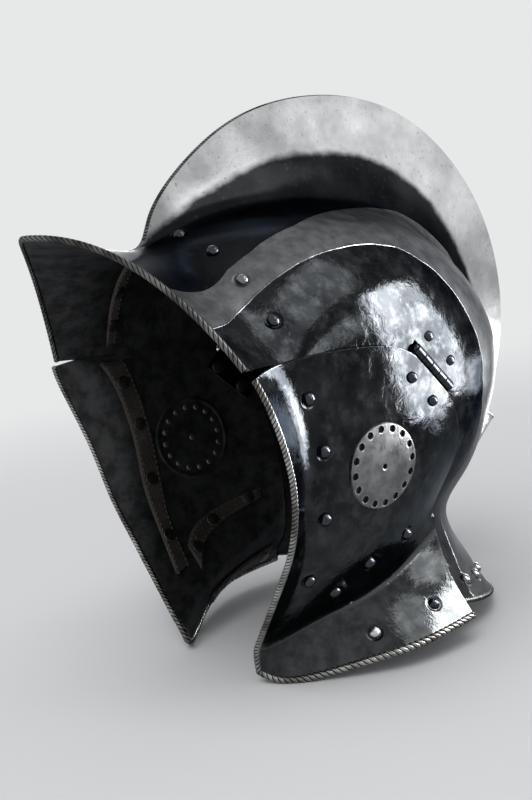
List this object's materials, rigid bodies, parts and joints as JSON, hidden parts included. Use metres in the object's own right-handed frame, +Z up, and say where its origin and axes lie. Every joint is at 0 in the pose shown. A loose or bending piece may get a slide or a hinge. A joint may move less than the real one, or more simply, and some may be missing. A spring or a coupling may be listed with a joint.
{
  "type": "burgonet helmet",
  "caption": "Open steel helmet with a high combed skull, turned-up peak, flared nape and hinged cheekpieces with pierced rosettes and roped borders.",
  "frame": {"origin": "on the table under the centre of the helmet, level with the flats that it stands on", "axes": "+X to the wearer's left, -Y towards the peak and face opening, +Z up to the comb"},
  "size_m": [0.2148, 0.3122, 0.2942],
  "materials": {
    "blackened_steel": "blackened and polished",
    "bright_steel": "polished",
    "dark_steel": "dark satin",
    "leather": "worn"
  },
  "bodies": {
    "skull": {"skull": "blackened_steel", "plume_holder": "bright_steel", "left_holder_rivet": "bright_steel", "right_holder_rivet": "bright_steel", "brow_lining": "leather", "nape_lining": "leather", "left_brow_rivet_1": "bright_steel", "left_brow_rivet_2": "bright_steel", "left_brow_rivet_3": "bright_steel", "left_brow_rivet_4": "bright_steel", "left_nape_rivet_1": "bright_steel", "left_nape_rivet_2": "bright_steel", "left_nape_rivet_3": "bright_steel", "left_upper_leaf_rivet_1": "dark_steel", "left_upper_leaf_rivet_2": "dark_steel", "left_upper_hinge_leaf": "dark_steel", "right_brow_rivet_1": "bright_steel", "right_brow_rivet_2": "bright_steel", "right_brow_rivet_3": "bright_steel", "right_brow_rivet_4": "bright_steel", "right_nape_rivet_1": "bright_steel", "right_nape_rivet_2": "bright_steel", "right_nape_rivet_3": "bright_steel", "right_upper_leaf_rivet_1": "dark_steel", "right_upper_leaf_rivet_2": "dark_steel", "right_upper_hinge_leaf": "dark_steel"},
    "left_cheek": {"left_cheekpiece": "blackened_steel", "left_lower_hinge_leaf": "dark_steel", "left_lower_leaf_rivet_1": "dark_steel", "left_lower_leaf_rivet_2": "dark_steel", "left_hinge_pin": "dark_steel", "left_cheek_front_rivet_1": "bright_steel", "left_cheek_front_rivet_2": "bright_steel", "left_cheek_front_rivet_3": "bright_steel", "left_cheek_front_rivet_4": "bright_steel", "left_cheek_front_lining": "leather", "left_cheek_diagonal_rivet_1": "bright_steel", "left_cheek_diagonal_rivet_2": "bright_steel", "left_cheek_diagonal_rivet_3": "bright_steel", "left_cheek_diagonal_lining": "leather", "left_cheek_flange_rivet_1": "bright_steel", "left_cheek_flange_rivet_2": "bright_steel", "left_cheek_flange_lining": "leather"},
    "right_cheek": {"right_cheekpiece": "blackened_steel", "right_lower_hinge_leaf": "dark_steel", "right_lower_leaf_rivet_1": "dark_steel", "right_lower_leaf_rivet_2": "dark_steel", "right_hinge_pin": "dark_steel", "right_cheek_front_rivet_1": "bright_steel", "right_cheek_front_rivet_2": "bright_steel", "right_cheek_front_rivet_3": "bright_steel", "right_cheek_front_rivet_4": "bright_steel", "right_cheek_front_lining": "leather", "right_cheek_diagonal_rivet_1": "bright_steel", "right_cheek_diagonal_rivet_2": "bright_steel", "right_cheek_diagonal_rivet_3": "bright_steel", "right_cheek_diagonal_lining": "leather", "right_cheek_flange_rivet_1": "bright_steel", "right_cheek_flange_rivet_2": "bright_steel", "right_cheek_flange_lining": "leather"}
  },
  "joints": [
    {"name": "left_cheek_hinge", "type": "hinge", "parent": "skull", "child": "left_cheek", "pos_m": [0.0872, 0.01139, 0.14701], "axis": [0.1182, -0.6815, 0.7222], "range_deg": [0, 90]},
    {"name": "right_cheek_hinge", "type": "hinge", "parent": "skull", "child": "right_cheek", "pos_m": [-0.0872, 0.01139, 0.14701], "axis": [0.1182, 0.6815, -0.7222], "range_deg": [0, 90]}
  ]
}
